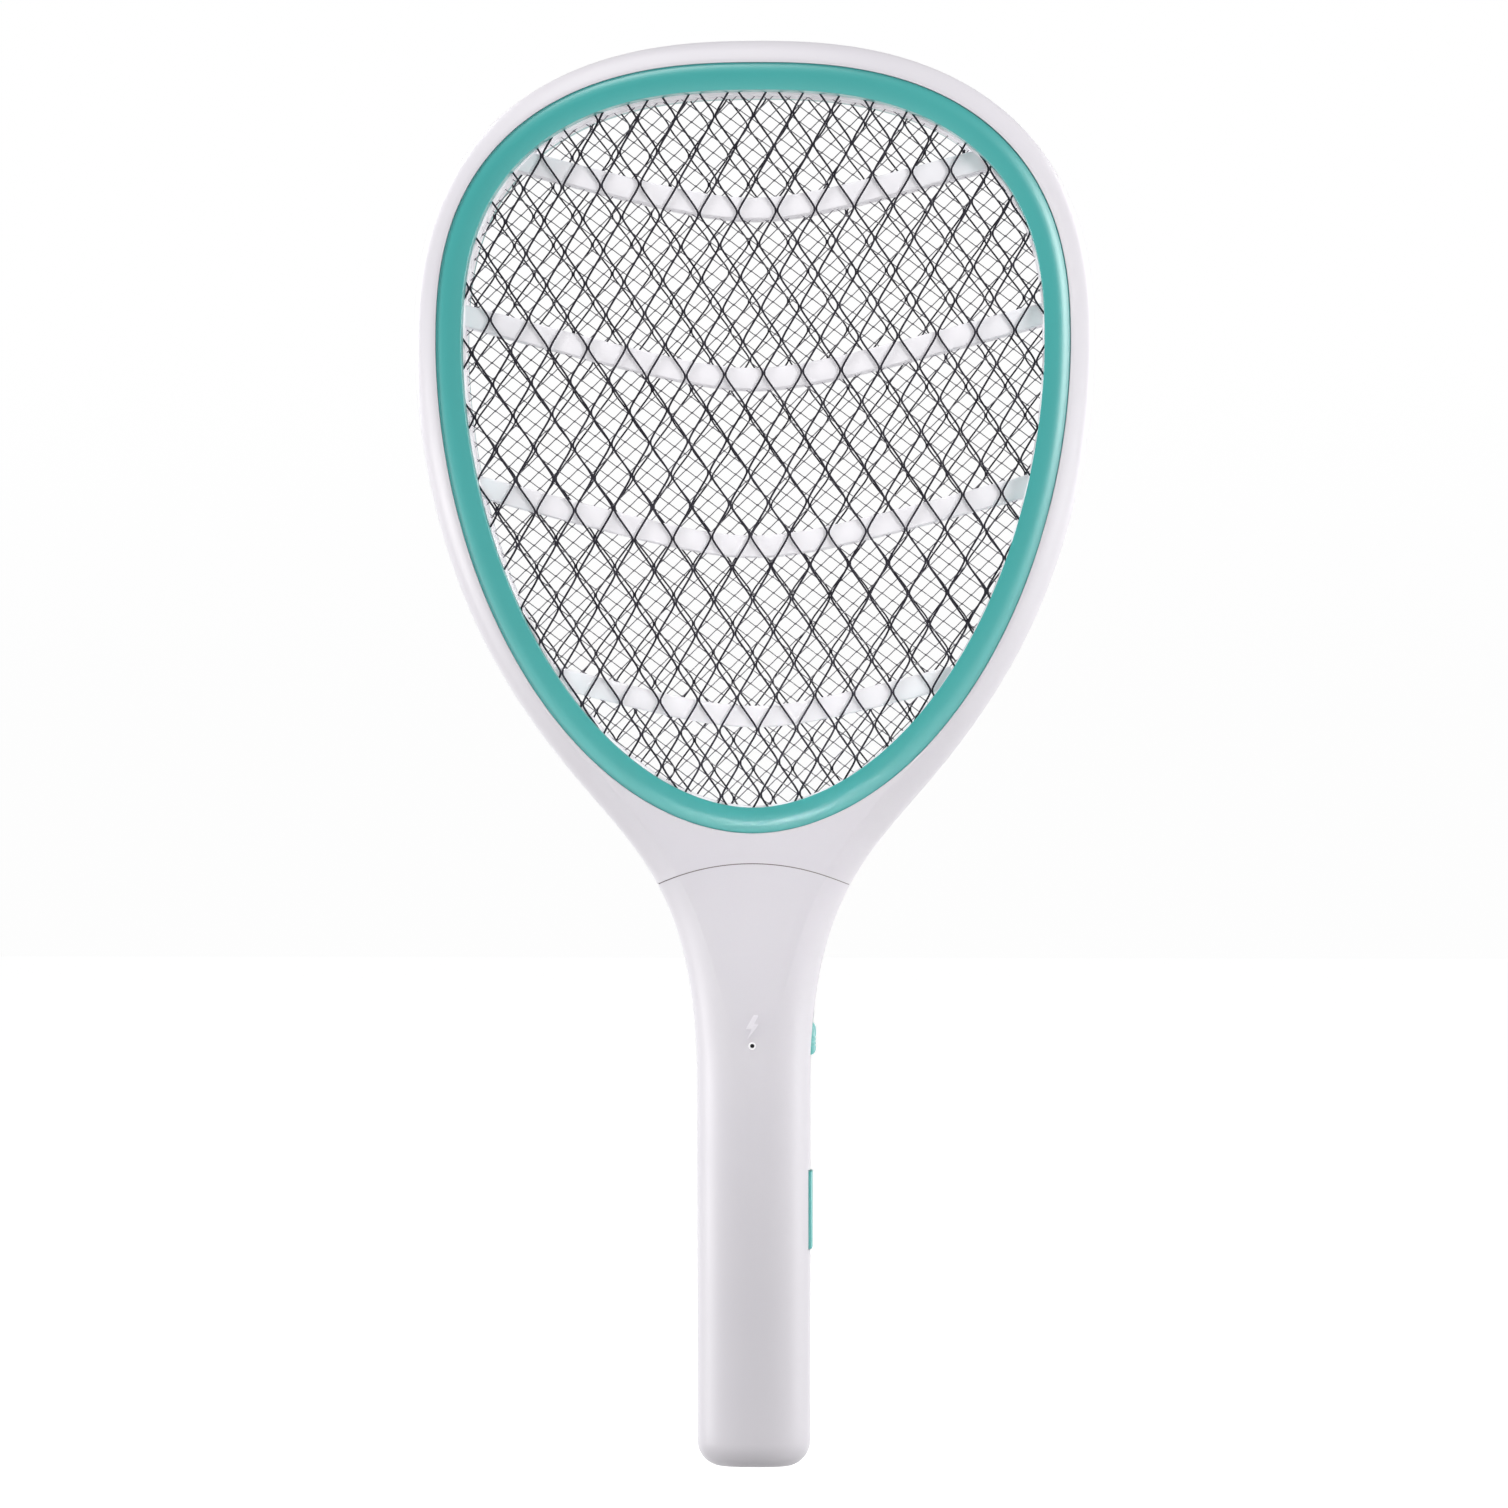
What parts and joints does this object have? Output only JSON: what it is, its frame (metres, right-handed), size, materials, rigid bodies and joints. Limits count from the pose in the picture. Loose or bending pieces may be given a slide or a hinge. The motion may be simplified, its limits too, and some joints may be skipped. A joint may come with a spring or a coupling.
{
  "type": "electric fly swatter",
  "caption": "Hand-held electric fly swatter: oval head with layered wire nets under teal trim rings, white battery handle with side push button and slide switch.",
  "frame": {"origin": "middle of the box's base: on the handle's end face, in the mid-plane of the head", "axes": "+Z along the length from the handle's end to the head, +X across the head towards the push button's side, front face towards -Y"},
  "size_m": [0.2102, 0.026, 0.4411],
  "materials": {
    "white_plastic": "satin, lightly textured",
    "teal_plastic": "semi-gloss",
    "dark_steel_net": "dull, darkened",
    "bright_steel_net": "dull, light grey",
    "plated_steel": "nickel plated",
    "board_green": "solder mask",
    "black_plastic": "plain",
    "switch_can": "tinned",
    "yellow_tape": "wound tape",
    "red_plastic": "dipped coating",
    "tan_coating": "dipped coating",
    "led_lens": "clear-tinted",
    "cell_sleeve": "printed-free shrink sleeve",
    "red_insulation": "soft insulation",
    "black_insulation": "soft insulation"
  },
  "bodies": {
    "swatter_body": {"battery_cell_1": "cell_sleeve", "battery_cell_2": "cell_sleeve", "battery_negative_lead": "black_insulation", "battery_positive_lead": "red_insulation", "battery_tray": "black_plastic", "button_switch_body": "black_plastic", "circuit_board": "board_green", "doubler_capacitor": "tan_coating", "front_head_frame": "white_plastic", "front_net_lead": "black_insulation", "front_rib_frame": "white_plastic", "front_safety_net": "dark_steel_net", "front_trim_ring": "teal_plastic", "handle_front_cover": "white_plastic", "handle_rear_cover": "white_plastic", "handle_screw_1": "plated_steel", "handle_screw_2": "plated_steel", "handle_screw_3": "plated_steel", "high_voltage_lead": "red_insulation", "high_voltage_net": "bright_steel_net", "high_voltage_transformer": "yellow_tape", "hoop_screw_1": "plated_steel", "hoop_screw_2": "plated_steel", "hoop_screw_3": "plated_steel", "hoop_screw_4": "plated_steel", "indicator_led": "led_lens", "jumper_plate": "plated_steel", "lower_contact_spring": "plated_steel", "negative_plate": "plated_steel", "oscillator_transistor": "black_plastic", "positive_plate": "plated_steel", "rear_head_frame": "white_plastic", "rear_net_lead": "black_insulation", "rear_rib_frame": "white_plastic", "rear_safety_net": "dark_steel_net", "rear_trim_ring": "teal_plastic", "rectifier_diode_1": "black_plastic", "rectifier_diode_2": "black_plastic", "rectifier_diode_3": "black_plastic", "resistor_1": "tan_coating", "resistor_2": "tan_coating", "slide_switch_body": "switch_can", "storage_capacitor": "red_plastic", "throat_screw_1": "plated_steel", "throat_screw_2": "plated_steel", "upper_contact_spring": "plated_steel"},
    "slide_switch": {"slide_switch_knob": "teal_plastic", "slide_switch_lever": "black_plastic"},
    "push_button": {"push_button": "teal_plastic", "button_switch_plunger": "red_plastic"},
    "battery_door": {"battery_door": "white_plastic"}
  },
  "joints": [
    {"name": "slide_switch_travel", "type": "slide", "parent": "swatter_body", "child": "slide_switch", "axis": [0, 0, 1], "range_m": [0, 0.003]},
    {"name": "push_button_travel", "type": "slide", "parent": "swatter_body", "child": "push_button", "axis": [-1, 0, 0], "range_m": [0, 0.0012], "stiffness_N_per_m": 600, "springref_m": -0.002},
    {"name": "battery_door_slide", "type": "slide", "parent": "swatter_body", "child": "battery_door", "axis": [0, 0, -1], "range_m": [0, 0.07]}
  ]
}
